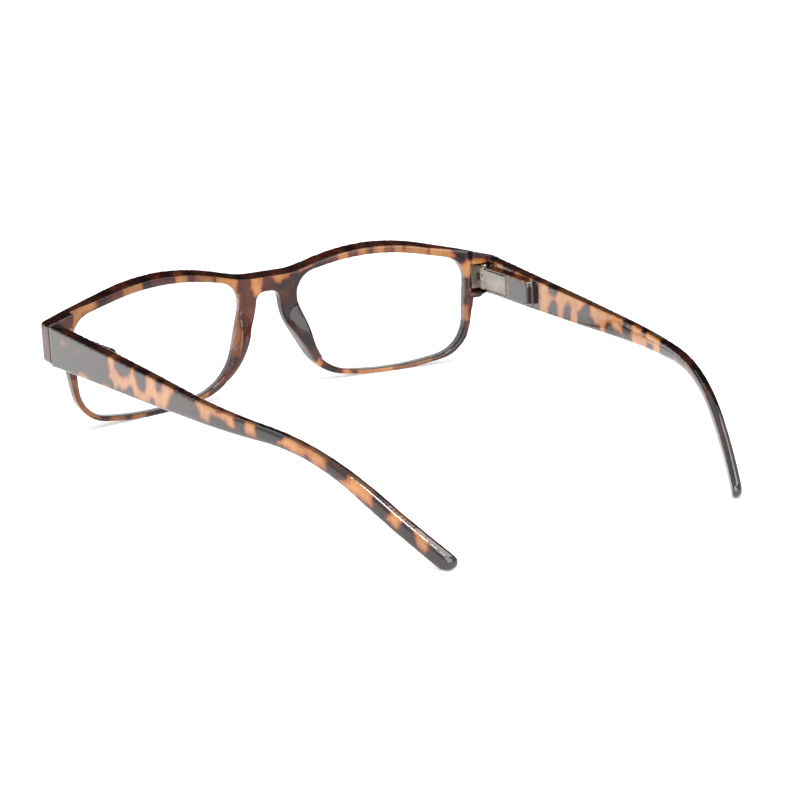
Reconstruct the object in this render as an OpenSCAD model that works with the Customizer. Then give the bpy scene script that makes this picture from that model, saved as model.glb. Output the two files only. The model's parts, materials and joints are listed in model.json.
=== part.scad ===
// Full-rim reading glasses with spring-hinged folding temples.
// +X is the wearer's left, -Y is the way the wearer looks, +Z is up.
// The rims and both temple tips stand on the plane Z = 0, and the origin is
// at the middle of the base of the open glasses.

/* [Front] */
// Half of the overall width, at the outer faces of the end pieces
half_w = 69; // [68.5:0.25:70]
// Radius of the back face's wrap around the head
wrap_r = 262; // [250:1:300]
// Thickness of the front from back face to front face
front_t = 3.8; // [3.4:0.1:4]
// Height of the top edge above each lens, before it is rounded
brow_z = 40.7; // [40.3:0.1:41]
// Height of the top edge at the middle of the bridge
bridge_z = 34.1; // [33.8:0.1:34.4]
// Height of the arch over the nose
arch_z = 28.5; // [28:0.1:29.5]

/* [Lenses] */
// Depth that each lens edge reaches into the rim's groove
lens_edge = 0.6; // [0.4:0.1:0.8]
// Thickness of each lens
lens_t = 2.0; // [1.8:0.1:2]
// Clearance around a lens in its groove
lens_gap = 0.04; // [0.02:0.01:0.1]

/* [Nose pads] */
// Radius of the ball that shapes each nose pad
pad_r = 14; // [13.5:0.25:14.5]
// Distance of the ball's centre from the middle of the bridge
pad_x = 15; // [14:0.25:15.5]
// Height of the ball's centre
pad_z = 15; // [14:0.5:16]
// How far each pad stands behind the bridge
pad_back = 4.5; // [4:0.1:4.8]

/* [Temples] */
// Angle by which each open temple leans inwards
toe_in = 5.3; // [4:0.1:6]
// Thickness of a temple at the hinge
arm_t = 3.4; // [3.2:0.1:3.6]
// Thickness of a temple from its curve to its tip
tip_t = 2.6; // [2.4:0.1:3]
// Height of a temple's top edge at the hinge
arm_top_z = 31.1; // [31:0.1:31.3]
// Height of a temple's bottom edge
arm_low_z = 20.5; // [20.3:0.1:20.7]
// Fall of the top edge for each millimetre along the temple
arm_taper = 0.07; // [0.06:0.005:0.075]
// Radius of the temple's inward curve behind the straight part
arm_curve_r = 172; // [165:1:180]
// Length of the temple's straight part
arm_straight = 70; // [65:1:75]
// Distance from the hinge to the centre of the rounded tip
tip_u = 141.6; // [140:0.2:143]
// Radius of the rounded tip
tip_r = 1.9; // [1.7:0.05:2]
// Angle at which the end of the temple drops behind the ear
drop = 34; // [32:0.5:36]

/* [Hinge] */
// Sideways place of the hinge axis
pin_x = 65; // [65:0.05:65.1]
// Fore and aft place of the hinge axis
pin_y = 10.8; // [10.8:0.05:10.9]
// Height of the middle of the hinge
pin_z = 25.3; // [25.2:0.05:25.4]
// Outer radius of the knuckles
knuckle_r = 1.5; // [1.45:0.01:1.5]
// Height of each of the front leaf's two knuckles
knuckle_h = 2.2; // [2.1:0.05:2.2]
// Height of the gap for the middle knuckle
middle_h = 2.2; // [2.2:0.05:2.3]
// Radius of the screw's shaft
screw_r = 0.7; // [0.65:0.01:0.7]
// Radial running clearance of the screw
screw_gap = 0.03; // [0.02:0.01:0.05]

/* [Hidden] */

tortoise = [0.36, 0.17, 0.08];
nickel = [0.72, 0.71, 0.69];
clear_lens = [0.85, 0.9, 0.92, 0.4];

$fn = 64;
large_fn = 256;
skin = 0.02;
far = 200;
arc_steps = 7;
plan_steps = 26;

// Middle of the glasses from front to back, which is where the origin goes
tip_end_u = tip_u + tip_r;
tip_end_v = (half_w - pin_x) / cos(toe_in) - arm_curve_r
    + sqrt(pow(arm_curve_r, 2) - pow(tip_end_u - arm_straight, 2));
back_y = pin_y + tip_end_u * cos(toe_in) + tip_end_v * sin(toe_in);
middle_y = (back_y - front_t) / 2;

// End pieces
end_low_z = 20.5;
end_in_x = 61.5;
butt_gap = 0.15;
outer_v = (half_w - pin_x) / cos(toe_in);
inner_v = outer_v - arm_t;

// Hinge leaf and the pocket that it sits in
leaf_back_u = -1.9;
leaf_t = 0.9;
leaf_in_v = -3.2;
leaf_out_v = 1.7;
stack_h = 2 * knuckle_h + middle_h;
stack_low_z = pin_z - stack_h / 2;
axial_gap = 0.05;
head_r = 1.15;
head_h = 0.5;
head_gap = 0.05;
slot_w = 0.3;
pocket_v = 1.75;
pocket_in_v = -8;
pocket_low_z = stack_low_z - 0.9;
pocket_top_z = stack_low_z + stack_h + 0.75;
anchor_r = 0.6;
anchor_len = 3.6;
anchor_v = -2.4;
anchor_dz = 2.1;

// Spring casing, tongue, rod and spring, all along the temple's own axis
casing_u = 1.9;
casing_len = 13;
casing_half_v = 1.5;
casing_h = 5.4;
casing_wall = 2.3;
casing_bore_r = 1.12;
recess_depth = 0.08;
recess_h = 3.6;
recess_edge = 0.9;
shank_w = 1.3;
shank_gap = 0.05;
shank_end_u = casing_u + 1.3;
rod_r = 0.55;
stop_u = 12.25;
stop_len = 1.1;
stop_r = 0.95;
rod_end_u = stop_u + stop_len + 0.15;
rivet_r = 0.4;
rivet_u = casing_u + casing_len - 1.1;
rivet_dz = 2.1;
rivet_out_v = 2.9;
coil_r = 0.85;
wire_r = 0.14;
coil_turns = 8;
coil_ring_n = 14;
coil_sides = 6;
coil_end_gap = 0.03;
coil_from_u = casing_u + casing_wall + wire_r + coil_end_gap;
coil_to_u = stop_u - wire_r - coil_end_gap;

// Raised block on the temple's inner face
block_v = -1.35;
block_len = 25;
block_h = 7;
block_r = 2;
block_low_r = 0.8;

// Lens opening: corner x, corner z and corner radius, clockwise from the nasal top
LENS = [[7.4, 31.5, 6.8], [33, 36.5, 70], [61.4, 30.3, 7], [60, 4.2, 10], [38, 0.4, 80],
    [14.6, 3.7, 15]];

// Right half of the front's outline, in the same form, from the bridge to the nose arch
HALF_FRONT = [[8, bridge_z, 20], [33, brow_z, 65], [half_w, 31.2, 1.2], [half_w, end_low_z, 1.2],
    [63.6, end_low_z, 2.5], [60.4, 2.8, 11.2], [44, 0, 40], [31, 0, 40], [15.2, 2.1, 16],
    [4.3, 20.5, 18], [3.6, arch_z, 2.8]];

function unit(v) = v / norm(v);
function turned(p, a) = [p.x * cos(a) - p.y * sin(a), p.x * sin(a) + p.y * cos(a)];
function point(c) = [c[0], c[1]];
function around(list, i) = list[(i + len(list)) % len(list)];
function mirrored(list) = [for (i = [len(list) - 1 : -1 : 0]) [-list[i][0], list[i][1], list[i][2]]];

// Arc of radius r that rounds the corner b between its neighbours a and c
function corner(a, b, c, r) =
    let (u = unit(a - b), v = unit(c - b), half = acos(u * v) / 2)
    let (centre = b + unit(u + v) * r / sin(half), start = b + u * r / tan(half) - centre)
    let (end = b + v * r / tan(half) - centre, way = sign(cross(start, end)))
    [for (i = [0 : arc_steps]) centre + turned(start, way * (180 - 2 * half) * i / arc_steps)];

// Closed outline through corners given as [x, y, radius]
function rounded(list) = [for (i = [0 : len(list) - 1])
    each corner(point(around(list, i - 1)), point(list[i]), point(around(list, i + 1)), list[i][2])];

// The same corners moved outwards by d, for an outline that runs clockwise
function grown(list, d) = [for (i = [0 : len(list) - 1])
    let (b = point(list[i]), u = unit(b - point(around(list, i - 1))))
    let (v = unit(point(around(list, i + 1)) - b), nu = [-u.y, u.x], nv = [-v.y, v.x])
    let (moved = b + (nu + nv) * d / (1 + nu * nv))
    [moved.x, moved.y, list[i][2] + d]];

// Outline drawn in X and Z, given depth along Y
module along_y(y0, y1) {
    translate([0, y1, 0])
    rotate([90, 0, 0])
    linear_extrude(y1 - y0)
    children();
}

// Curved sheet that follows the wrap, between two depths in front of the back face
module wrapped(near, deep) {
    translate([0, wrap_r, -5])
    difference() {
        cylinder(r = wrap_r + deep, h = 60, $fn = large_fn);
        translate([0, 0, -1]) cylinder(r = wrap_r + near, h = 62, $fn = large_fn);
    }
}

// A left-hand piece, or its mirror image on the right
module handed(side) {
    if (side > 0) children();
    else mirror([1, 0, 0]) children();
}

// The same, moved so that the origin is at the middle of the base
module on_side(side) {
    translate([0, -middle_y, 0]) handed(side) children();
}

// Frame of the open left temple: origin on the hinge axis, +Y along the temple, +X outwards
module temple_axes() {
    translate([pin_x, pin_y, 0])
    rotate([0, 0, toe_in])
    children();
}

// Box between two corners
module block(low, high) {
    translate(low) cube(high - low);
}

// Cylinder along the temple
module rod(u0, u1, r) {
    translate([0, u0, pin_z])
    rotate([-90, 0, 0])
    cylinder(r = r, h = u1 - u0);
}

module front_outline() {
    polygon(rounded(concat(HALF_FRONT, mirrored(HALF_FRONT))));
}

module lens_outline(grow) {
    polygon(rounded(grown(LENS, grow)));
}

// End piece, reaching back from the wrapped front to the temple
module end_piece() {
    intersection() {
        along_y(-5, 14) front_outline();
        translate([0, wrap_r, -5]) cylinder(r = wrap_r + front_t, h = 60, $fn = large_fn);
        block([end_in_x, 0, end_low_z - 1], [half_w + 1, 14, 40]);
        temple_axes() block([-far, -far, -5], [far, -butt_gap, 50]);
    }
}

// Room for the leaf, its knuckles and the folded temple's block
module hinge_pocket() {
    temple_axes()
    block([pocket_in_v, leaf_back_u - leaf_t, pocket_low_z], [pocket_v, 5, pocket_top_z]);
}

// Nose pad moulded on the rim's nasal edge: the part of a ball behind the rim
module nose_pad() {
    intersection() {
        along_y(0, 8) front_outline();
        translate([pad_x, pad_back - pad_r, pad_z]) sphere(r = pad_r, $fn = 128);
        block([0, -1, 0], [pad_x, 8, 40]);
    }
}

module front_half() {
    difference() {
        union() {
            end_piece();
            nose_pad();
        }
        hinge_pocket();
        temple_axes() leaf_pin_pair();
        along_y(-8, 14) lens_outline(0);
        lens_solid(lens_edge + lens_gap, lens_gap);
    }
}

module front_frame() {
    color(tortoise)
    translate([0, -middle_y, 0])
    union() {
        difference() {
            intersection() {
                along_y(-5, 14) front_outline();
                wrapped(0, front_t);
            }
            for (side = [1, -1]) handed(side) {
                along_y(-8, 14) lens_outline(0);
                lens_solid(lens_edge + lens_gap, lens_gap);
                hinge_pocket();
                temple_axes() leaf_pin_pair();
            }
        }
        for (side = [1, -1]) handed(side) front_half();
    }
}

module lens_solid(grow, extra) {
    middle = front_t / 2;
    intersection() {
        along_y(-8, 14) lens_outline(grow);
        wrapped(middle - lens_t / 2 - extra, middle + lens_t / 2 + extra);
    }
}

module lens(side) {
    color(clear_lens) on_side(side) lens_solid(lens_edge, 0);
}

// Knuckle of the front leaf, with its web to the plate
module leaf_knuckle(z) {
    translate([0, 0, z]) cylinder(r = knuckle_r, h = knuckle_h);
    block([-1.1, leaf_back_u - skin, z], [knuckle_r, 0, z + knuckle_h]);
}

module hinge_leaf(side) {
    color(nickel)
    on_side(side)
    temple_axes()
    difference() {
        union() {
            block([leaf_in_v, leaf_back_u - leaf_t, stack_low_z],
                [leaf_out_v, leaf_back_u, stack_low_z + stack_h]);
            leaf_knuckle(stack_low_z);
            leaf_knuckle(stack_low_z + knuckle_h + middle_h);
        }
        translate([0, 0, stack_low_z - 1]) cylinder(r = screw_r + screw_gap, h = stack_h + 2);
        leaf_pin_pair();
    }
}

module leaf_pin_pair() {
    for (dz = [-anchor_dz, anchor_dz])
        translate([anchor_v, leaf_back_u, pin_z + dz])
        rotate([90, 0, 0])
        cylinder(r = anchor_r, h = anchor_len);
}

module leaf_anchor_pins(side) {
    color(nickel) on_side(side) temple_axes() leaf_pin_pair();
}

module hinge_screw(side) {
    top_z = stack_low_z + stack_h + head_gap;
    color(nickel)
    on_side(side)
    temple_axes()
    difference() {
        union() {
            translate([0, 0, stack_low_z + 0.2]) cylinder(r = screw_r, h = top_z - stack_low_z);
            translate([0, 0, top_z]) cylinder(r = head_r, h = head_h);
        }
        block([-slot_w / 2, -2, top_z + head_h / 2], [slot_w / 2, 2, top_z + 1]);
    }
}

module spring_tongue(side) {
    ring_h = middle_h - 2 * axial_gap;
    color(nickel)
    on_side(side)
    temple_axes()
    difference() {
        union() {
            translate([0, 0, pin_z - ring_h / 2]) cylinder(r = knuckle_r, h = ring_h);
            block([-shank_w / 2, 0, pin_z - shank_w / 2],
                [shank_w / 2, shank_end_u, pin_z + shank_w / 2]);
            rod(shank_end_u - skin, rod_end_u, rod_r);
        }
        translate([0, 0, pin_z - 3]) cylinder(r = screw_r + screw_gap, h = 6);
    }
}

module spring_stop(side) {
    color(nickel)
    on_side(side)
    temple_axes()
    difference() {
        rod(stop_u, stop_u + stop_len, stop_r);
        rod(stop_u - 1, stop_u + stop_len + 1, rod_r);
    }
}

// Space that the casing fills in the temple
module casing_block() {
    block([-casing_half_v, casing_u, pin_z - casing_h / 2],
        [casing_half_v, casing_u + casing_len, pin_z + casing_h / 2]);
}

module rivet_pair() {
    for (dz = [-rivet_dz, rivet_dz])
        translate([-casing_half_v, rivet_u, pin_z + dz])
        rotate([0, 90, 0])
        cylinder(r = rivet_r, h = casing_half_v + rivet_out_v);
}

// Shallow panel pressed into the casing's face
module casing_recess() {
    block([-casing_half_v - 1, casing_u + recess_edge, pin_z - recess_h / 2],
        [recess_depth - casing_half_v, rivet_u - rivet_r - recess_edge, pin_z + recess_h / 2]);
}

module spring_casing(side) {
    hole = shank_w / 2 + shank_gap;
    color(nickel)
    on_side(side)
    temple_axes()
    difference() {
        casing_block();
        casing_recess();
        block([-hole, 0, pin_z - hole], [hole, casing_u + casing_wall + skin, pin_z + hole]);
        rod(casing_u + casing_wall, casing_u + casing_len + 1, casing_bore_r);
        rivet_pair();
    }
}

module casing_anchor_pins(side) {
    color(nickel) on_side(side) temple_axes() rivet_pair();
}

// Temple seen from the side, drawn as [distance along it, height]
module arm_side() {
    tip = [tip_u, tip_r];
    back = [-cos(drop), sin(drop)];
    across = [sin(drop), cos(drop)] * tip_r;
    low_end = tip - across;
    top_end = tip + across;
    low_run = (arm_low_z - low_end.y) / back.y;
    low_bend = low_end + back * low_run;
    top_run = (arm_top_z - arm_taper * top_end.x - top_end.y) / (back.y + arm_taper * back.x);
    top_bend = top_end + back * top_run;
    union() {
        polygon(concat([[0, arm_top_z]],
            corner([0, arm_top_z], top_bend, top_end, 60), [top_end],
            [low_end], corner(low_end, low_bend, [0, arm_low_z], 45), [[0, arm_low_z]]));
        translate(tip) circle(r = tip_r);
    }
}

// Points of an arc about c, from the side of the temple at the angle a0 to a1
function plan_arc(c, r, a0, a1) =
    [for (i = [0 : plan_steps]) c + r * [cos(a0 + (a1 - a0) * i / plan_steps),
        sin(a0 + (a1 - a0) * i / plan_steps)]];

// Temple seen from above: it thins behind the hinge block and then curves inwards
module arm_plan() {
    centre = [outer_v - arm_curve_r, arm_straight];
    curve_end = 30;
    polygon(concat([[inner_v, 0], [outer_v, 0]],
        plan_arc(centre, arm_curve_r, 0, curve_end),
        plan_arc(centre, arm_curve_r - tip_t, curve_end, 0),
        [[inner_v, casing_u + block_len]]));
}

module raised_block() {
    low = pin_z - block_h / 2;
    top = pin_z + block_h / 2;
    rear = casing_u + block_len;
    translate([block_v, 0, 0])
    rotate([90, 0, 90])
    linear_extrude(inner_v + 0.5 - block_v)
    polygon(concat([[casing_u, low], [casing_u, top]],
        corner([casing_u, top], [rear, top], [rear, low], block_r),
        corner([rear, top], [rear, low], [casing_u, low], block_low_r)));
}

module temple(side) {
    color(tortoise)
    on_side(side)
    temple_axes()
    difference() {
        union() {
            intersection() {
                translate([-60, 0, 0]) rotate([90, 0, 90]) linear_extrude(80) arm_side();
                translate([0, 0, -5]) linear_extrude(50) arm_plan();
            }
            raised_block();
        }
        block([-5, -5, pocket_low_z], [pocket_v, casing_u, pocket_top_z]);
        casing_block();
        rod(casing_u + casing_len - skin, casing_u + casing_len + 0.4, stop_r);
        rivet_pair();
    }
}

// Helical wire, swept as rings of points about the coil's own path
module coil_spring(side) {
    rings = coil_turns * coil_ring_n;
    pitch = (coil_to_u - coil_from_u) / rings;
    points = [for (i = [0 : rings], k = [0 : coil_sides - 1])
        let (a = 360 * i / coil_ring_n, b = 360 * k / coil_sides, r = coil_r + wire_r * cos(b))
        [r * cos(a), coil_from_u + pitch * i + wire_r * sin(b), pin_z + r * sin(a)]];
    sides = [for (i = [0 : rings - 1], k = [0 : coil_sides - 1])
        let (n = (k + 1) % coil_sides, row = i * coil_sides, next = row + coil_sides)
        [row + k, next + k, next + n, row + n]];
    caps = [[for (k = [0 : coil_sides - 1]) k],
        [for (k = [coil_sides - 1 : -1 : 0]) rings * coil_sides + k]];
    color(nickel)
    on_side(side)
    temple_axes()
    polyhedron(points, concat(sides, caps));
}

front_frame();
lens(1);  // lens_left
lens(-1);  // lens_right
hinge_leaf(1);  // hinge_leaf_left
hinge_leaf(-1);  // hinge_leaf_right
leaf_anchor_pins(1);  // leaf_anchor_pins_left
leaf_anchor_pins(-1);  // leaf_anchor_pins_right
hinge_screw(1);  // hinge_screw_left
hinge_screw(-1);  // hinge_screw_right
spring_tongue(1);  // spring_tongue_left
spring_tongue(-1);  // spring_tongue_right
spring_stop(1);  // spring_stop_left
spring_stop(-1);  // spring_stop_right
temple(1);  // temple_left
temple(-1);  // temple_right
spring_casing(1);  // spring_casing_left
spring_casing(-1);  // spring_casing_right
casing_anchor_pins(1);  // casing_anchor_pins_left
casing_anchor_pins(-1);  // casing_anchor_pins_right
coil_spring(1);  // coil_spring_left
coil_spring(-1);  // coil_spring_right
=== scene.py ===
import json
import math

import bpy
import numpy as np
from mathutils import Matrix, Vector
from mathutils.bvhtree import BVHTree


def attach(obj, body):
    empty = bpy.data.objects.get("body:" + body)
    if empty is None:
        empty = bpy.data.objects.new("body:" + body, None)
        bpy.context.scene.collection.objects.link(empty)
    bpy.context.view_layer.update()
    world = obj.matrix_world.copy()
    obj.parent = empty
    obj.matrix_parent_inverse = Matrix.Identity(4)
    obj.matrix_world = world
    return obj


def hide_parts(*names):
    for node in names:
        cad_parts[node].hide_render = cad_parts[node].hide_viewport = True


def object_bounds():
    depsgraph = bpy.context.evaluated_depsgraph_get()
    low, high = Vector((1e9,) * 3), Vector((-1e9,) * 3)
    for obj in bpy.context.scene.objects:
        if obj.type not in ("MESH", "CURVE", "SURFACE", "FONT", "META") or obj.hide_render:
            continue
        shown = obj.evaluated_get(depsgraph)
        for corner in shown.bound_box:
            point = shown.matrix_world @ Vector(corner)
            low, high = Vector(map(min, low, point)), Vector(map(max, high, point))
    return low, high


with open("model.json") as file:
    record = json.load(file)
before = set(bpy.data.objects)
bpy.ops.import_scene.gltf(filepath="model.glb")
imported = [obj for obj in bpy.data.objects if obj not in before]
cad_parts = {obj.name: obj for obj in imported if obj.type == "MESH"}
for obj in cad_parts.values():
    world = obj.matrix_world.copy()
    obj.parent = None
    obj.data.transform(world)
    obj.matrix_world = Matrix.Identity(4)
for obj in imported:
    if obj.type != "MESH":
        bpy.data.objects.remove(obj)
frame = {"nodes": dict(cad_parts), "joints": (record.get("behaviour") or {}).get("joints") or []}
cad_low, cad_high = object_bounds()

MM = 0.001

# Camera: its direction from the glasses, distance, aim point and focal length
CAMERA_AZIMUTH = 149.17
CAMERA_ELEVATION = 15.37
CAMERA_ROLL = -2.17
CAMERA_DISTANCE = 484.2 * MM
CAMERA_AIM = Vector((-5.67, -14.88, 9.04)) * MM
CAMERA_LENS = 85.0
SENSOR_WIDTH = 36

# Sun: its azimuth and elevation, its width in degrees, and its power
KEY_DIRECTION = (140, 62)
KEY_WIDTH = 20
KEY_POWER = 2.4
WORLD_POWER = 0.85

# Lit cards: azimuth, elevation, width and height in metres, and power
STRIP_DISTANCE = 1.1
STRIPS = [
    (210, 62, 1.3, 0.35, 5.0),
    (40, 55, 0.9, 0.35, 1.5),
    (165, 22, 1.6, 0.9, 5.0),
]

# Black card, in metres: how far behind the glasses, how high its middle is, and its size
FLAG_DISTANCE = 0.9
FLAG_MIDDLE = 1.03
FLAG_WIDTH = 2.4
FLAG_HEIGHT = 2.0

FLOOR_SIZE = 40
FLOOR_GLOW = 0.45

SIDES = ("left", "right")

# Rebuilt mouldings: points nearer than this are joined, and then the grid sizes
WELD_GAP = 0.0005 * MM
FRONT_GRID = 0.265 * MM
TEMPLE_GRID = 0.24 * MM

# How often edges are rounded off: the front, its nose pads, a temple, a temple's rear, and
# the rear again once its height has been put back
FRONT_PASSES = 12
PAD_PASSES = 60
TEMPLE_PASSES = 9
REAR_PASSES = 45
EVEN_PASSES = 14

# Rear of a temple, from the hinge: where its extra rounding starts and is full. Then the
# most that its height is stretched, and how much sooner the last passes are full.
REAR_FROM = 50 * MM
REAR_FULL = 115 * MM
REAR_STRETCH = 1.25
EVEN_RISE = 3

# Length of the slices in which a piece's lowest and highest points are found
SLICE = 1.5 * MM

# Nose pads: how far behind the front's foremost plane, how far to each side and how high
# they are, each with the width over which that limit fades. Next to a lens the rounding
# starts at this share of the fade.
PAD_BEHIND = 2.8 * MM
PAD_BEHIND_FADE = 0.8 * MM
PAD_SIDE = 14 * MM
PAD_SIDE_FADE = 2 * MM
PAD_TOP = 25 * MM
PAD_TOP_FADE = 3 * MM
PAD_LENS_FADE = 1.2 * MM
PAD_LENS_START = 0.5

# Slope of the front's top face: how far it falls to the back, over what height, above
# what height the brow is, and where it fades out on the way to the end pieces
BEVEL_DROP = 1.4 * MM
BEVEL_REACH = 3.0 * MM
BROW_LOW = 30 * MM
BEVEL_FADE = (50 * MM, 61 * MM)

# How thick the front is, how far each lens reaches into its groove in millimetres, and the
# part of the front's depth that the groove takes up. The groove is filled, because the
# lens's edge can't be seen in it.
FRONT_DEPTH = 3.8 * MM
LENS_EDGE = 0.6
GROOVE_FROM = 0.15
GROOVE_TO = 0.85

# Edges that stay crisp: the size of the zone, how many zones away they are round again, and
# how much of each pass they take. END_PIECE and RAIL say where the front and a temple have
# them, across the front, along from the hinge and outward from it.
CRISP_ZONE = 1.6 * MM
CRISP_REACH = 1.6
CRISP_SHARE = 0.15
END_PIECE_FROM = 60 * MM
END_PIECE_START = -4 * MM
RAIL_LENGTH = 17 * MM
RAIL_FACE = -0.2 * MM

# Metal parts: how wide their softened edges are, and the least angle that is softened
METAL_EDGE = 0.06 * MM
METAL_EDGE_ANGLE = 40

# Tortoiseshell patches: (tone, corners), tone 0 is yellow amber and 1 is red brown.
# Corners are in millimetres, as [across, height] on the front and
# [distance from the hinge, height] on a temple. Everything else is dark.
FRONT_AMBER = [
    (0.10, [(1.8, 28), (1.6, 34.9), (4.6, 35), (4.8, 31), (3.9, 28)]),
    (0.40, [(9.4, 30), (8.8, 33), (9.2, 36.6), (15.6, 37), (15.6, 33), (12, 31)]),
    (0.75, [(16.2, 33), (16.2, 37.4), (22, 38), (22, 34)]),
    (0.40, [(24.2, 34), (24, 38.4), (27.8, 38.4), (28, 34)]),
    (0.55, [(38.5, 33), (38.3, 38), (43.8, 37.6), (44.2, 33)]),
    (0.45, [(52, 33), (52.6, 36.2), (57, 34.8), (60.4, 33.3), (61.2, 30.5),
            (61.8, 27.6), (60.2, 25.5), (59, 28.5), (56.5, 31.8)]),
    (0.60, [(8.6, 29), (9.8, 29), (10.6, 22), (12.6, 15), (15.2, 9), (14.2, 8.6),
            (11.2, 15), (9.3, 21)]),
    (0.80, [(20, 1), (20, 5), (25, 4), (25.5, 0)]),
    (0.75, [(40, -1), (40, 3.5), (44, 3.5), (44, -1)]),
    (0.75, [(46, -1), (46, 4), (51, 4.5), (51, -1)]),
    (0.70, [(54, 3), (54, 6), (58.4, 9), (60.6, 15), (61.6, 15), (60, 7), (57.5, 4)]),
    (0.30, [(-1.9, 37), (-1.8, 33.4), (-3, 31.4), (-4.2, 30.7), (-5.4, 31.8),
            (-8.4, 33.4), (-8, 37)]),
    (0.30, [(-10.2, 32.8), (-13.8, 34.4), (-14, 37.2), (-10, 36.6)]),
    (0.40, [(-22.4, 34), (-22.1, 39), (-25.2, 39), (-25.2, 34)]),
    (0.40, [(-28.8, 34), (-28.8, 39), (-31.4, 39), (-31.4, 34)]),
    (0.40, [(-33.6, 34), (-33.6, 39), (-36.7, 39), (-36.7, 34)]),
    (0.85, [(-37.2, 34), (-37.2, 39), (-38.8, 39), (-38.8, 34)]),
    (0.35, [(-39.4, 34), (-39.4, 39), (-42.3, 39), (-42.3, 34)]),
    (0.60, [(-42.8, 34), (-42.8, 38), (-49.6, 37), (-49.6, 32)]),
    (0.15, [(-50.2, 32), (-50.2, 37), (-54, 35.6), (-56.8, 34.2), (-57.2, 32.2),
            (-55, 31)]),
    (0.10, [(-59, 28.4), (-60, 29.3), (-62.4, 31), (-64.5, 30.8), (-66, 29.9),
            (-64.4, 29), (-62.8, 27), (-61.4, 25.2), (-60.5, 25.3), (-59.6, 27.4)]),
    (0.50, [(-59.4, 12.8), (-61, 12.8), (-61.4, 16.8), (-59.8, 17)]),
    (1.00, [(-61, 20.6), (-62, 20.6), (-62, 21.6), (-61, 21.6)]),
    (0.60, [(-57, 9.5), (-58.2, 9.5), (-56.6, 5.8), (-53.6, 4.2), (-50, 3.4),
            (-50, 5), (-54, 6.5)]),
    (0.85, [(-38.4, -1), (-38.4, 2), (-50, 3), (-50, -1)]),
    (0.30, [(-27, -1), (-27, 3.2), (-37.8, 2.4), (-37.8, -1)]),
    (0.30, [(-22.8, -1), (-22.8, 4), (-24.8, 4), (-24.8, -1)]),
    (0.35, [(-13.7, 5.4), (-14.8, 4.6), (-15.6, 5.7), (-14.2, 7.3)]),
]

LEFT_AMBER = [
    (0.15, [(34.4, 30), (34.6, 25.6), (33.8, 24.4), (35.5, 23.6), (36.4, 21.8),
            (38, 22), (46.2, 21.7), (54, 21.6), (60.4, 21.8), (62.4, 24.4),
            (65, 27.2), (65, 30)]),
    (0.35, [(17.6, 21.3), (18.2, 22), (22, 22), (22.8, 21.5), (20.6, 21)]),
    (0.35, [(30.8, 21.3), (33, 22), (33.6, 21.4)]),
    (0.95, [(9.4, 28.7), (10.2, 29.1), (12.6, 28.8), (12, 28.3)]),
    (0.95, [(15.6, 26.8), (17, 28), (19.6, 28.2), (19.8, 27.2)]),
    (0.15, [(74.2, 30), (74.5, 26), (75.8, 25), (76.3, 22.7), (78, 22.4), (80, 22.6),
            (79.6, 23.7), (81, 24.8), (83, 24.4), (86.2, 24.5), (86.9, 22.9),
            (89.3, 22.6), (89.9, 23), (89.1, 24.6), (88.7, 30)]),
    (0.05, [(92.9, 30), (93.5, 24), (93.8, 22.8), (96.5, 22.6), (96.3, 24.5),
            (97, 30)]),
    (0.10, [(103.2, 22.2), (104.4, 22.8), (106.6, 24.4), (107.5, 30), (117, 30),
            (116.8, 20), (116.6, 18.7), (114.5, 19.6), (111.5, 20.4), (107, 21.5)]),
    (0.10, [(119, 30), (119.8, 20.2), (121.6, 19.2), (123, 17.9), (122.8, 16.7),
            (120.4, 16.8), (121.5, 15.9), (128.3, 12.3), (128.2, 13.6),
            (127.8, 15), (128, 30)]),
    (0.15, [(133, 30), (132.8, 12.6), (132.6, 11.2), (131.8, 10.2), (134, 8.8),
            (134.3, 9.6), (135, 10.4), (135.4, 30)]),
    (0.20, [(137.2, 9.4), (138.4, 7.4), (138.9, 5.6), (140, 4.4), (140.6, 5),
            (140.2, 6.4), (139.6, 8)]),
]

LEFT_DARK = [
    [(37.4, 32), (37.7, 27.4), (39.6, 26.1), (41.4, 25.8), (43.2, 26.4), (44.2, 27.8),
     (44.4, 32)],
    [(38.4, 19), (38.4, 21.8), (42.8, 22.2), (43.6, 23), (44.7, 23), (45.3, 22),
     (46, 19)],
    [(46.9, 32), (47.3, 27.2), (48.4, 25), (49.5, 24), (50.8, 24.4), (51.6, 25.8),
     (51.6, 32)],
    [(56.6, 32), (57, 26.2), (57.6, 25.6), (58.8, 25.8), (59.2, 27), (59.2, 32)],
    [(54, 19), (54.2, 22), (54.8, 22.3), (55.4, 22), (55.8, 19)],
    [(82.6, 28), (83, 25.8), (84, 25.8), (84.4, 28)],
    [(110, 26), (110.4, 23.6), (111, 23.6), (111.2, 26)],
    [(111.4, 19), (111.8, 20.1), (112.6, 19.9), (113.4, 19)],
]

RIGHT_AMBER = [
    (0.15, [(31.6, 19), (31.4, 29), (35, 32), (73.2, 32), (73.2, 19)]),
    (0.30, [(5.6, 29.4), (5.8, 31), (10, 30.6), (10.8, 29.4)]),
    (0.20, [(17.6, 29.2), (17.8, 30.2), (27, 29.6), (27.4, 29)]),
    (0.90, [(12.6, 23.4), (13, 26), (17.2, 26.4), (17.6, 24), (16.4, 22.6)]),
    (0.10, [(77.9, 19), (77.9, 32), (81.8, 32), (82, 24.2), (84, 23.8), (85.2, 24.4),
            (85.4, 32), (92.6, 32), (92.6, 23.2), (92, 19)]),
    (0.55, [(99.8, 18), (100, 21.8), (103, 21.4), (103, 18)]),
    (0.60, [(106.4, 17), (106.6, 20.2), (110, 19.4), (110.4, 17)]),
    (0.95, [(108, 22.2), (110, 22), (112.4, 20.4), (111, 19.8), (108.6, 21)]),
    (0.95, [(117.6, 18.8), (120, 18.6), (121.8, 16.6), (120, 16)]),
]

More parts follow.
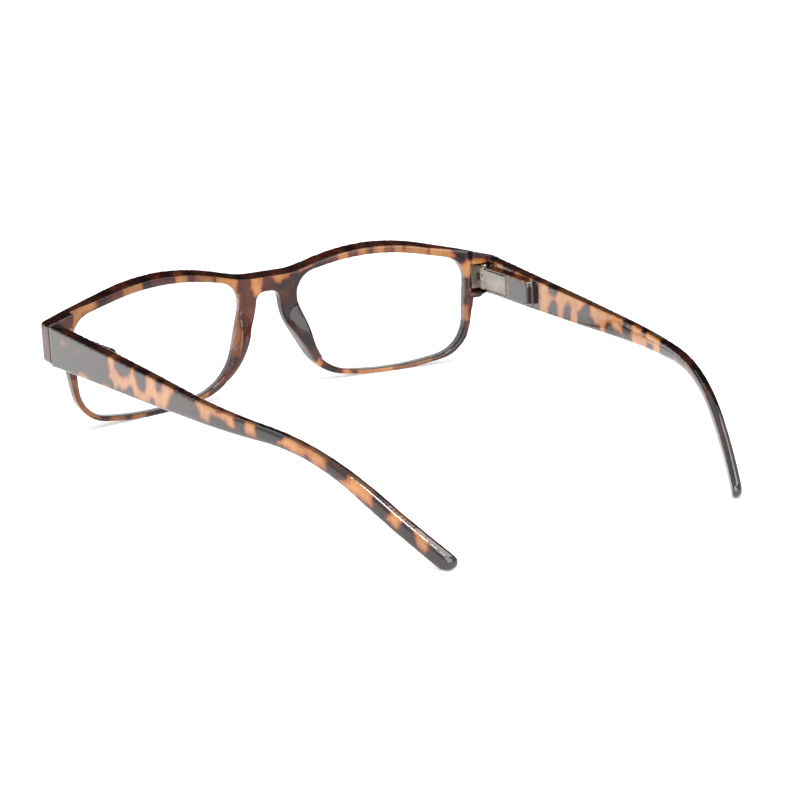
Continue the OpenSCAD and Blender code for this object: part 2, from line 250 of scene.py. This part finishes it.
RIGHT_DARK = [
    [(36.6, 33), (36.5, 28.4), (37.3, 27.4), (39.3, 27.3), (40.4, 28.3), (40.6, 33)],
    [(36.2, 19), (36.6, 22.6), (38, 24.2), (39.4, 24.6), (40.1, 24), (40.4, 19)],
    [(44.2, 19), (44.9, 23.5), (45.6, 25.2), (46.7, 25.5), (47.5, 24.7), (47.6, 19)],
    [(52.1, 19), (52.3, 23.7), (54.2, 25.6), (56.3, 26.6), (57.3, 26.2), (57.6, 24.4),
     (59.8, 22.2), (61.9, 21.9), (61.9, 19)],
    [(65.2, 19), (65.4, 22.4), (67.2, 23.6), (68, 23.7), (70, 22.4), (72.6, 22),
     (73.5, 19)],
    [(85.8, 19), (86.2, 22), (88, 22.1), (88.8, 19)],
]

# All in millimetres: how far amber grows past its corners, how far inside a patch its tone
# takes over and the limit of that, and the depth where there is no amber
PATCH_ROUND = 0.4
TONE_BLEND = 0.6
TONE_LIMIT = 12
NO_AMBER = -9.0

# How far the patches are moved from where they are drawn above, to suit the camera, in
# millimetres: (place, move) twice, with an even change between them, and the move upwards
FRONT_SHIFT = ((-60, 0.0), (60, 0.9), -0.2)
LEFT_SHIFT = ((0, -2.9), (140, -1.8), -0.5)
RIGHT_SHIFT = ((0, -0.3), (120, -2.6), -0.3)

# The face of each temple that its patches are drawn on, in millimetres outward from the
# hinge. Away from it they lean along the arm: by how much, to what depth, and up to where.
LEFT_FACE = 4.0
RIGHT_FACE = 0.6
LEAN = 0.35
LEAN_DEPTH = 4
LEAN_TO = 70

# Painted shade: faces that look up are painted darker: by how much, and from what slope, on
# the front and on a temple. It takes this range of slopes to set in.
FRONT_PAINTED_SHADE = (0.96, 0.55)
TEMPLE_PAINTED_SHADE = (0.85, 0.5)
PAINTED_SHADE_RANGE = 0.3

joints = {j["name"]: j for j in frame["joints"]}


# ---------------------------------------------------------------- meshes

def temple_axes(side):
    """The hinge point and the along and outward directions of one open temple."""
    pin = np.array(joints["fold_" + side]["pos_m"])
    along = np.array(joints["spring_slide_" + side]["axis"])
    sign = 1 if pin[0] > 0 else -1
    outward = sign * np.array([along[1], -along[0], 0.0])
    return pin, along, outward


def rebuilt(node, name, grid):
    """A copy of a CAD node on an even grid, fine enough to round off and to colour."""
    copy = bpy.data.objects.new(name, frame["nodes"][node].data.copy())
    copy.data.materials.clear()
    bpy.context.scene.collection.objects.link(copy)
    weld = copy.modifiers.new("weld", "WELD")
    weld.merge_threshold = WELD_GAP
    remesh = copy.modifiers.new("remesh", "REMESH")
    remesh.mode = "VOXEL"
    remesh.voxel_size = grid
    graph = bpy.context.evaluated_depsgraph_get()
    mesh = bpy.data.meshes.new_from_object(copy.evaluated_get(graph))
    copy.modifiers.clear()
    copy.data = mesh
    mesh.name = name
    return copy


def points(mesh):
    co = np.empty(len(mesh.vertices) * 3)
    mesh.vertices.foreach_get("co", co)
    return co.reshape(-1, 3)


def normals(mesh):
    n = np.empty(len(mesh.vertices) * 3)
    mesh.vertices.foreach_get("normal", n)
    return n.reshape(-1, 3)


def round_off(piece, passes, share):
    """Rounds a mesh's edges. share is how much of each pass a point takes."""
    mesh = piece.data
    edges = np.empty(len(mesh.edges) * 2, np.int64)
    mesh.edges.foreach_get("vertices", edges)
    a, b = edges.reshape(-1, 2).T
    count = len(mesh.vertices)
    around = np.bincount(a, minlength=count) + np.bincount(b, minlength=count)
    around = np.maximum(around, 1)
    co = points(mesh)
    for _ in range(passes):
        for axis in range(3):
            line = co[:, axis]
            total = np.bincount(a, line[b], count) + np.bincount(b, line[a], count)
            co[:, axis] = line + 0.5 * share * (total / around - line)
    move_points(piece, co)
    mesh.shade_smooth()


def crisp_share(distance):
    """Edges near the joint between front and temple stay crisp."""
    near = np.clip(CRISP_REACH - np.abs(distance) / CRISP_ZONE, 0, 1)
    return 1 - (1 - CRISP_SHARE) * near


def lens_distance(co):
    """How far each point is from the nearer CAD lens."""
    graph = bpy.context.evaluated_depsgraph_get()
    trees = [BVHTree.FromObject(frame["nodes"]["lens_" + side], graph) for side in SIDES]
    return np.array([trees[0 if place[0] > 0 else 1].find_nearest(place)[3] for place in co])


def limits(along, value, where):
    """Lowest and highest value in each slice along a piece, interpolated at given places."""
    steps = np.arange(0.5, along.max() / SLICE) * SLICE
    slices = np.clip((along / SLICE).astype(int), 0, len(steps) - 1)
    low = np.full(len(steps), np.inf)
    high = np.full(len(steps), -np.inf)
    np.minimum.at(low, slices, value)
    np.maximum.at(high, slices, value)
    filled = np.isfinite(low)
    steps = steps[filled]
    return np.interp(where, steps, low[filled]), np.interp(where, steps, high[filled])


def move_points(piece, co):
    """Puts a mesh's points in new places, none of them outside the CAD's box."""
    co = np.clip(co, np.array(cad_low), np.array(cad_high))
    piece.data.vertices.foreach_set("co", co.ravel())
    piece.data.update()


def lens_outline(side):
    """Corners of one CAD lens seen from the front, in millimetres, in order round its middle."""
    co = points(frame["nodes"]["lens_" + side].data) / MM
    flat = np.unique(np.round(co[:, [0, 2]], 2), axis=0)
    middle = (flat.min(axis=0) + flat.max(axis=0)) / 2
    turn = np.arctan2(flat[:, 1] - middle[1], flat[:, 0] - middle[0])
    return flat[np.argsort(turn)]


def fill_grooves(front):
    """Moves the walls of both lens grooves in, flush with the lens openings."""
    co = points(front.data)
    across = np.abs(co[:, 0])
    ahead, behind = limits(across, co[:, 1], across)
    near_lens = lens_distance(co)
    behind = np.minimum(behind, ahead + FRONT_DEPTH)
    depth = (co[:, 1] - ahead) / (behind - ahead)
    groove = (depth > GROOVE_FROM) & (depth < GROOVE_TO) & (near_lens < LENS_EDGE * MM)
    flat = co[:, [0, 2]] / MM
    for side, sign in zip(SIDES, (1, -1)):
        chosen = np.flatnonzero(groove & (sign * co[:, 0] > 0))
        place = flat[chosen]
        corners = lens_outline(side)
        best = np.full(len(chosen), np.inf)
        depth_in = np.zeros(len(chosen))
        inward = np.zeros((len(chosen), 2))
        for start, end in zip(corners, np.roll(corners, -1, axis=0)):
            run = end - start
            length = np.hypot(*run)
            normal = np.array([-run[1], run[0]]) / length
            t = np.clip((place - start) @ run / length ** 2, 0, 1)
            gap = np.hypot(*(place - start - t[:, None] * run).T)
            nearer = gap < best
            best = np.where(nearer, gap, best)
            depth_in = np.where(nearer, (place - start) @ normal, depth_in)
            inward[nearer] = normal
        move = np.clip(LENS_EDGE - depth_in, 0, 2 * LENS_EDGE)
        co[chosen, 0] += inward[:, 0] * move * MM
        co[chosen, 2] += inward[:, 1] * move * MM
    move_points(front, co)


def slope_top(front):
    """Lets the front's top face fall towards the back, more so at its back edge."""
    co = points(front.data)
    across = np.abs(co[:, 0])
    brow = co[:, 2] > BROW_LOW
    top = limits(across, co[:, 2], across)[1]
    ahead, behind = limits(across[brow], co[brow, 1], across)
    depth = np.clip((co[:, 1] - ahead) / (behind - ahead), 0, 1)
    reach = np.clip(1 - (top - co[:, 2]) / BEVEL_REACH, 0, 1)
    fade = np.clip((BEVEL_FADE[1] - across) / (BEVEL_FADE[1] - BEVEL_FADE[0]), 0, 1)
    co[:, 2] -= BEVEL_DROP * reach * fade * depth
    move_points(front, co)


def round_rear(arm, u):
    """Rounds the arm's section more and more towards the tip, and keeps its height."""
    before = points(arm.data)[:, 2]
    share = np.clip((u - REAR_FROM) / (REAR_FULL - REAR_FROM), 0, 1)
    round_off(arm, REAR_PASSES, share)
    co = points(arm.data)
    low, high = limits(u, before, u)
    new_low, new_high = limits(u, co[:, 2], u)
    stretch = np.clip((high - low) / (new_high - new_low), 1, REAR_STRETCH)
    co[:, 2] = (low + high) / 2 + (co[:, 2] - (new_low + new_high) / 2) * stretch
    move_points(arm, co)
    round_off(arm, EVEN_PASSES, np.minimum(1, EVEN_RISE * share))


# ---------------------------------------------------------------- tortoiseshell patches

def inside_distance(a, b, corners):
    """How far each point is inside a polygon. Negative outside."""
    nearest = np.full(a.shape, np.inf)
    inside = np.zeros(a.shape, bool)
    for (a0, b0), (a1, b1) in zip(corners, corners[1:] + corners[:1]):
        da = a1 - a0
        db = b1 - b0
        t = np.clip(((a - a0) * da + (b - b0) * db) / (da * da + db * db), 0, 1)
        nearest = np.minimum(nearest, np.hypot(a - a0 - t * da, b - b0 - t * db))
        if db != 0:
            inside ^= ((b0 > b) != (b1 > b)) & (a < a0 + (b - b0) * da / db)
    return np.where(inside, nearest, -nearest)


def patches(a, b, amber, dark):
    """Distance into the amber in millimetres, and the tone of the nearest amber."""
    depth = np.full(a.shape, NO_AMBER)
    weight = np.full(a.shape, 1e-9)
    tone = np.zeros(a.shape)
    for shade, corners in amber:
        inside = inside_distance(a, b, corners) + PATCH_ROUND
        depth = np.maximum(depth, inside)
        w = np.exp(np.clip(inside / TONE_BLEND, -TONE_LIMIT, TONE_LIMIT))
        weight += w
        tone += w * shade
    for corners in dark:
        depth = np.minimum(depth, -inside_distance(a, b, corners) - PATCH_ROUND)
    return depth, tone / weight


def drawn_place(a, b, shift):
    """Where a point of the piece lies on the patches as drawn."""
    (from_a, from_move), (to_a, to_move), rise = shift
    return a - np.interp(a, (from_a, to_a), (from_move, to_move)), b - rise


def write_values(piece, **values):
    for name, value in values.items():
        layer = piece.data.attributes.new(name, "FLOAT", "POINT")
        layer.data.foreach_set("value", np.asarray(value, np.float32))


def painted_top_shade(piece, strength, slope):
    """Painted shade: 1 on the sides, and less on faces that look up, which are painted darker."""
    up = normals(piece.data)[:, 2]
    return 1 - strength * np.clip((up - slope) / PAINTED_SHADE_RANGE, 0, 1)


def colour_front(piece):
    co = points(piece.data) / MM
    x, z = drawn_place(co[:, 0], co[:, 2], FRONT_SHIFT)
    depth, tone = patches(x, z, FRONT_AMBER, [])
    # shade holds the painted shade of the faces that look up
    write_values(piece, amber=depth, tone=tone, shade=painted_top_shade(piece, *FRONT_PAINTED_SHADE))


def colour_temple(piece, side, amber, dark, face_v, shift):
    """face_v is the face on which the patches lie as drawn. They slant through the arm."""
    pin, along, outward = temple_axes(side)
    co = points(piece.data) - pin
    u = co @ along / MM
    v = co @ outward / MM
    z = points(piece.data)[:, 2] / MM
    lean = LEAN * np.clip(np.abs(v - face_v), 0, LEAN_DEPTH) * (u < LEAN_TO)
    u, z = drawn_place(u + lean, z, shift)
    depth, tone = patches(u, z, amber, dark)
    # shade holds the painted shade of the faces that look up
    write_values(piece, amber=depth, tone=tone, shade=painted_top_shade(piece, *TEMPLE_PAINTED_SHADE))


# ---------------------------------------------------------------- materials

def new_material(name):
    material = bpy.data.materials.new(name)
    material.use_nodes = True
    tree = material.node_tree
    return material, tree, tree.nodes["Principled BSDF"]


def node(tree, kind, **settings):
    made = tree.nodes.new(kind)
    for key, value in settings.items():
        setattr(made, key, value)
    return made


def math_node(tree, operation, a, b):
    made = node(tree, "ShaderNodeMath", operation=operation)
    for socket, value in zip(made.inputs, (a, b)):
        if isinstance(value, (int, float)):
            socket.default_value = value
        else:
            tree.links.new(value, socket)
    return made.outputs[0]


def noise(tree, scale, detail, stretch=(1, 1, 1)):
    """Noise in object space, scaled per metre, stretched along some axes."""
    coords = node(tree, "ShaderNodeTexCoord")
    mapping = node(tree, "ShaderNodeMapping")
    mapping.inputs["Scale"].default_value = stretch
    tree.links.new(coords.outputs["Object"], mapping.inputs["Vector"])
    texture = node(tree, "ShaderNodeTexNoise")
    texture.inputs["Scale"].default_value = scale
    texture.inputs["Detail"].default_value = detail
    tree.links.new(mapping.outputs[0], texture.inputs["Vector"])
    return texture.outputs["Fac"]


def spread(tree, value, low, high, to_low, to_high):
    made = node(tree, "ShaderNodeMapRange")
    for socket, number in zip(made.inputs[1:5], (low, high, to_low, to_high)):
        socket.default_value = number
    tree.links.new(value, made.inputs[0])
    return made.outputs[0]


def ramp(tree, value, stops):
    made = node(tree, "ShaderNodeValToRGB")
    points_list = made.color_ramp.elements
    while len(points_list) < len(stops):
        points_list.new(0.5)
    for element, (place, colour) in zip(points_list, stops):
        element.position = place
        element.color = (*colour, 1)
    tree.links.new(value, made.inputs[0])
    return made.outputs[0]


def mix(tree, factor, a, b, blend="MIX"):
    made = node(tree, "ShaderNodeMix", data_type="RGBA", blend_type=blend)
    for socket, value in zip((made.inputs[0], made.inputs[6], made.inputs[7]), (factor, a, b)):
        if isinstance(value, (int, float)):
            socket.default_value = value
        elif isinstance(value, tuple):
            socket.default_value = (*value, 1)
        else:
            tree.links.new(value, socket)
    return made.outputs[2]


def bump(tree, height, depth, strength):
    made = node(tree, "ShaderNodeBump")
    made.inputs["Distance"].default_value = depth
    made.inputs["Strength"].default_value = strength
    tree.links.new(height, made.inputs["Height"])
    return made.outputs[0]


def attribute(tree, name):
    return node(tree, "ShaderNodeAttribute", attribute_name=name).outputs["Fac"]


def tortoiseshell(name, gloss, coat, cloudy):
    """Polished plastic: near-black patches with red-brown borders in clear amber.

    cloudy is how much maroon shows in the dark patches.
    """
    material, tree, shader = new_material(name)
    wobble = spread(tree, noise(tree, 260, 3), 0.3, 0.7, -0.45, 0.45)
    feather = spread(tree, noise(tree, 700, 2, (1, 1, 0.35)), 0.3, 0.7, -0.2, 0.2)
    depth = math_node(tree, "ADD", attribute(tree, "amber"), wobble)
    depth = math_node(tree, "ADD", depth, feather)
    place = spread(tree, depth, -1.0, 1.6, 0, 1)
    amber = ramp(tree, place, [
        (0.10, (0.014, 0.006, 0.006)),
        (0.30, (0.050, 0.012, 0.008)),
        (0.42, (0.180, 0.036, 0.012)),
        (0.54, (0.390, 0.125, 0.032)),
        (0.85, (0.540, 0.245, 0.085)),
    ])
    brown = ramp(tree, place, [
        (0.10, (0.014, 0.006, 0.006)),
        (0.30, (0.035, 0.009, 0.007)),
        (0.46, (0.075, 0.019, 0.010)),
        (0.60, (0.100, 0.028, 0.013)),
        (0.90, (0.130, 0.036, 0.016)),
    ])
    drift = spread(tree, noise(tree, 150, 2), 0.35, 0.65, -0.15, 0.15)
    tone = math_node(tree, "ADD", attribute(tree, "tone"), drift)
    tone = spread(tree, tone, 0, 1, 0, 1)
    colour = mix(tree, tone, amber, brown)
    clouds = ramp(tree, noise(tree, 130, 3), [
        (0.42, (0.010, 0.004, 0.004)),
        (0.62, (0.085, 0.018, 0.010)),
        (0.78, (0.150, 0.034, 0.014)),
    ])
    colour = mix(tree, cloudy, colour, mix(tree, 1.0, colour, clouds, "LIGHTEN"))
    streaks = spread(tree, noise(tree, 900, 3, (1, 1, 0.15)), 0.35, 0.7, 1.0, 0.82)
    colour = mix(tree, 1.0, colour, streaks, "MULTIPLY")
    # Painted shade: a near-black maroon that the faces looking up are painted with
    maroon = ramp(tree, noise(tree, 220, 3, (1, 0.4, 1)), [
        (0.45, (0.006, 0.003, 0.004)),
        (0.60, (0.035, 0.008, 0.006)),
        (0.78, (0.090, 0.020, 0.010)),
    ])
    # Painted shade: the more a face looks up, the more of the maroon it takes instead of its own
    # colour
    colour = mix(tree, attribute(tree, "shade"), maroon, colour)
    tree.links.new(colour, shader.inputs["Base Color"])
    polish = spread(tree, noise(tree, 500, 4), 0.3, 0.7, 0.05, 0.11)
    tree.links.new(polish, shader.inputs["Roughness"])
    ripple = bump(tree, noise(tree, 320, 2), 0.02 * MM, 0.25)
    tree.links.new(ripple, shader.inputs["Normal"])
    shader.inputs["IOR"].default_value = gloss
    shader.inputs["Subsurface Weight"].default_value = 0.3
    shader.inputs["Subsurface Radius"].default_value = (1.0, 0.35, 0.1)
    shader.inputs["Subsurface Scale"].default_value = 1.6 * MM
    shader.inputs["Coat Weight"].default_value = coat
    shader.inputs["Coat Roughness"].default_value = 0.04
    return material


def nickel():
    """Satin nickel with a fine upright brushed grain."""
    material, tree, shader = new_material("nickel")
    grain = noise(tree, 2500, 3, (1, 1, 0.08))
    stain = noise(tree, 300, 3)
    colour = ramp(tree, stain, [
        (0.30, (0.25, 0.22, 0.19)),
        (0.70, (0.34, 0.31, 0.27)),
    ])
    tree.links.new(colour, shader.inputs["Base Color"])
    tree.links.new(spread(tree, grain, 0.3, 0.7, 0.22, 0.38), shader.inputs["Roughness"])
    tree.links.new(bump(tree, grain, 0.006 * MM, 0.3), shader.inputs["Normal"])
    shader.inputs["Metallic"].default_value = 1.0
    return material


def spring_steel():
    """Drawn steel wire with a light oil sheen."""
    material, tree, shader = new_material("spring_steel")
    grain = noise(tree, 4000, 2)
    colour = ramp(tree, grain, [
        (0.30, (0.30, 0.30, 0.31)),
        (0.70, (0.48, 0.47, 0.46)),
    ])
    tree.links.new(colour, shader.inputs["Base Color"])
    tree.links.new(spread(tree, grain, 0.3, 0.7, 0.25, 0.45), shader.inputs["Roughness"])
    shader.inputs["Metallic"].default_value = 1.0
    return material


def lens_plastic():
    """Clear acrylic, polished, with the faintest haze."""
    material, tree, shader = new_material("lens")
    haze = spread(tree, noise(tree, 60, 4), 0.35, 0.75, 0.0, 0.012)
    tree.links.new(haze, shader.inputs["Roughness"])
    shader.inputs["Base Color"].default_value = (0.99, 0.995, 1.0, 1)
    shader.inputs["IOR"].default_value = 1.49
    shader.inputs["Transmission Weight"].default_value = 1.0
    return material


# ---------------------------------------------------------------- the glasses

def make_front(material):
    front = rebuilt("front_frame", "front", FRONT_GRID)
    fill_grooves(front)
    slope_top(front)
    co = points(front.data)
    share = np.ones(len(co))
    for side in SIDES:
        pin, along, _ = temple_axes(side)
        u = (co - pin) @ along
        near = (np.sign(pin[0]) * co[:, 0] > END_PIECE_FROM) & (u > END_PIECE_START)
        share = np.where(near, np.minimum(share, crisp_share(u)), share)
    round_off(front, FRONT_PASSES, share)
    behind = np.clip((co[:, 1] - cad_low[1] - PAD_BEHIND) / PAD_BEHIND_FADE, 0, 1)
    inward = np.clip((PAD_SIDE - np.abs(co[:, 0])) / PAD_SIDE_FADE, 0, 1)
    below = np.clip((PAD_TOP - co[:, 2]) / PAD_TOP_FADE, 0, 1)
    away = np.clip(lens_distance(co) / PAD_LENS_FADE - PAD_LENS_START, 0, 1)
    round_off(front, PAD_PASSES, behind * inward * below * away)
    colour_front(front)
    front.data.materials.append(material)
    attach(front, "front")
    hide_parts("front_frame")


def make_temple(side, amber, dark, face_v, shift, material):
    arm = rebuilt("temple_" + side, "arm_" + side, TEMPLE_GRID)
    pin, along, outward = temple_axes(side)
    co = points(arm.data) - pin
    u = co @ along
    rails = (u < RAIL_LENGTH) & (co @ outward < RAIL_FACE)
    round_off(arm, TEMPLE_PASSES, np.where(rails, CRISP_SHARE, crisp_share(u)))
    round_rear(arm, u)
    colour_temple(arm, side, amber, dark, face_v, shift)
    arm.data.materials.append(material)
    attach(arm, "temple_arm_" + side)
    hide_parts("temple_" + side)


def finish_cad_node(name, material, edge):
    """Gives a CAD node its material and, where edge is over 0, softened edges."""
    cad = frame["nodes"][name]
    for slot in cad.material_slots:
        slot.material = material
    if edge > 0:
        weld = cad.modifiers.new("weld", "WELD")
        weld.merge_threshold = WELD_GAP
        bevel = cad.modifiers.new("edge", "BEVEL")
        bevel.width = edge
        bevel.segments = 2
        bevel.limit_method = "ANGLE"
        bevel.angle_limit = math.radians(METAL_EDGE_ANGLE)
        bevel.harden_normals = True


front_shell = tortoiseshell("front_tortoiseshell", 1.42, 0.0, 1.0)
arm_shell = tortoiseshell("arm_tortoiseshell", 1.5, 0.55, 0.25)
metal = nickel()
steel = spring_steel()
clear = lens_plastic()

make_front(front_shell)
make_temple("left", LEFT_AMBER, LEFT_DARK, LEFT_FACE, LEFT_SHIFT, arm_shell)
make_temple("right", RIGHT_AMBER, RIGHT_DARK, RIGHT_FACE, RIGHT_SHIFT, arm_shell)

for side in SIDES:
    finish_cad_node("lens_" + side, clear, 0)
    finish_cad_node("coil_spring_" + side, steel, 0)
    for name in ("hinge_leaf_", "hinge_screw_", "spring_tongue_", "spring_casing_"):
        finish_cad_node(name + side, metal, METAL_EDGE)
    for name in ("leaf_anchor_pins_", "spring_stop_", "casing_anchor_pins_"):
        finish_cad_node(name + side, metal, 0)


# ---------------------------------------------------------------- studio

def plane(name, centre, right, up, width, height):
    """A flat rectangle from its middle and its two directions."""
    mesh = bpy.data.meshes.new(name)
    corners = []
    for a, b in ((-1, -1), (1, -1), (1, 1), (-1, 1)):
        corners.append(centre + right * (a * width / 2) + up * (b * height / 2))
    mesh.from_pydata(corners, [], [(0, 1, 2, 3)])
    made = bpy.data.objects.new(name, mesh)
    bpy.context.scene.collection.objects.link(made)
    return made


def view_direction(azimuth, elevation):
    a = math.radians(azimuth)
    e = math.radians(elevation)
    return Vector((math.sin(a) * math.cos(e), -math.cos(a) * math.cos(e), math.sin(e)))


def add_camera():
    back = view_direction(CAMERA_AZIMUTH, CAMERA_ELEVATION)
    level = Vector((0, 0, 1)).cross(back).normalized()
    above = back.cross(level)
    roll = math.radians(CAMERA_ROLL)
    right = level * math.cos(roll) + above * math.sin(roll)
    up = above * math.cos(roll) - level * math.sin(roll)
    place = CAMERA_AIM + back * CAMERA_DISTANCE
    camera = bpy.data.objects.new("camera", bpy.data.cameras.new("camera"))
    camera.data.lens = CAMERA_LENS
    camera.data.sensor_width = SENSOR_WIDTH
    camera.data.clip_start = 0.01
    camera.data.clip_end = 100
    camera.matrix_world = Matrix.Translation(place) @ Matrix((right, up, back)).transposed().to_4x4()
    bpy.context.scene.collection.objects.link(camera)
    bpy.context.scene.camera = camera


def add_floor():
    right = Vector((1, 0, 0))
    back = Vector((0, 1, 0))
    floor = plane("floor", Vector((0, 0, 0)), right, back, FLOOR_SIZE, FLOOR_SIZE)
    material, tree, shader = new_material("floor")
    shader.inputs["Base Color"].default_value = (0.85, 0.85, 0.85, 1)
    shader.inputs["Roughness"].default_value = 0.7
    shader.inputs["Emission Color"].default_value = (1, 1, 1, 1)
    shader.inputs["Emission Strength"].default_value = FLOOR_GLOW
    floor.data.materials.append(material)


def show_only_in_gloss(card):
    card.visible_camera = False
    card.visible_diffuse = False
    card.visible_shadow = False
    card.visible_transmission = False


def add_flag():
    """A black studio card behind the glasses, seen only in their gloss."""
    away = -view_direction(CAMERA_AZIMUTH, 0)
    across = away.cross(Vector((0, 0, 1)))
    up = Vector((0, 0, 1))
    middle = away * FLAG_DISTANCE + up * FLAG_MIDDLE
    card = plane("flag", middle, across, up, FLAG_WIDTH, FLAG_HEIGHT)
    material, tree, shader = new_material("flag")
    shader.inputs["Base Color"].default_value = (0.01, 0.01, 0.01, 1)
    shader.inputs["Roughness"].default_value = 1.0
    shader.inputs["Specular IOR Level"].default_value = 0.0
    card.data.materials.append(material)
    show_only_in_gloss(card)


def add_strips():
    """Lit studio cards round the glasses, seen only as shine on them."""
    for azimuth, elevation, width, height, power in STRIPS:
        towards = view_direction(azimuth, elevation)
        across = Vector((0, 0, 1)).cross(towards).normalized()
        middle = towards * STRIP_DISTANCE
        card = plane("strip", middle, across, towards.cross(across), width, height)
        material, tree, shader = new_material("strip")
        shader.inputs["Base Color"].default_value = (0, 0, 0, 1)
        shader.inputs["Emission Color"].default_value = (1, 1, 1, 1)
        shader.inputs["Emission Strength"].default_value = power
        card.data.materials.append(material)
        show_only_in_gloss(card)


def add_lights():
    key = bpy.data.lights.new("key", "SUN")
    key.energy = KEY_POWER
    key.angle = math.radians(KEY_WIDTH)
    lamp = bpy.data.objects.new("key", key)
    lamp.rotation_euler = view_direction(*KEY_DIRECTION).to_track_quat("Z", "Y").to_euler()
    bpy.context.scene.collection.objects.link(lamp)
    world = bpy.data.worlds.new("studio")
    world.use_nodes = True
    background = world.node_tree.nodes["Background"]
    background.inputs["Color"].default_value = (1, 1, 1, 1)
    background.inputs["Strength"].default_value = WORLD_POWER
    bpy.context.scene.world = world


add_camera()
add_floor()
add_flag()
add_strips()
add_lights()
bpy.context.scene.view_settings.view_transform = "Standard"
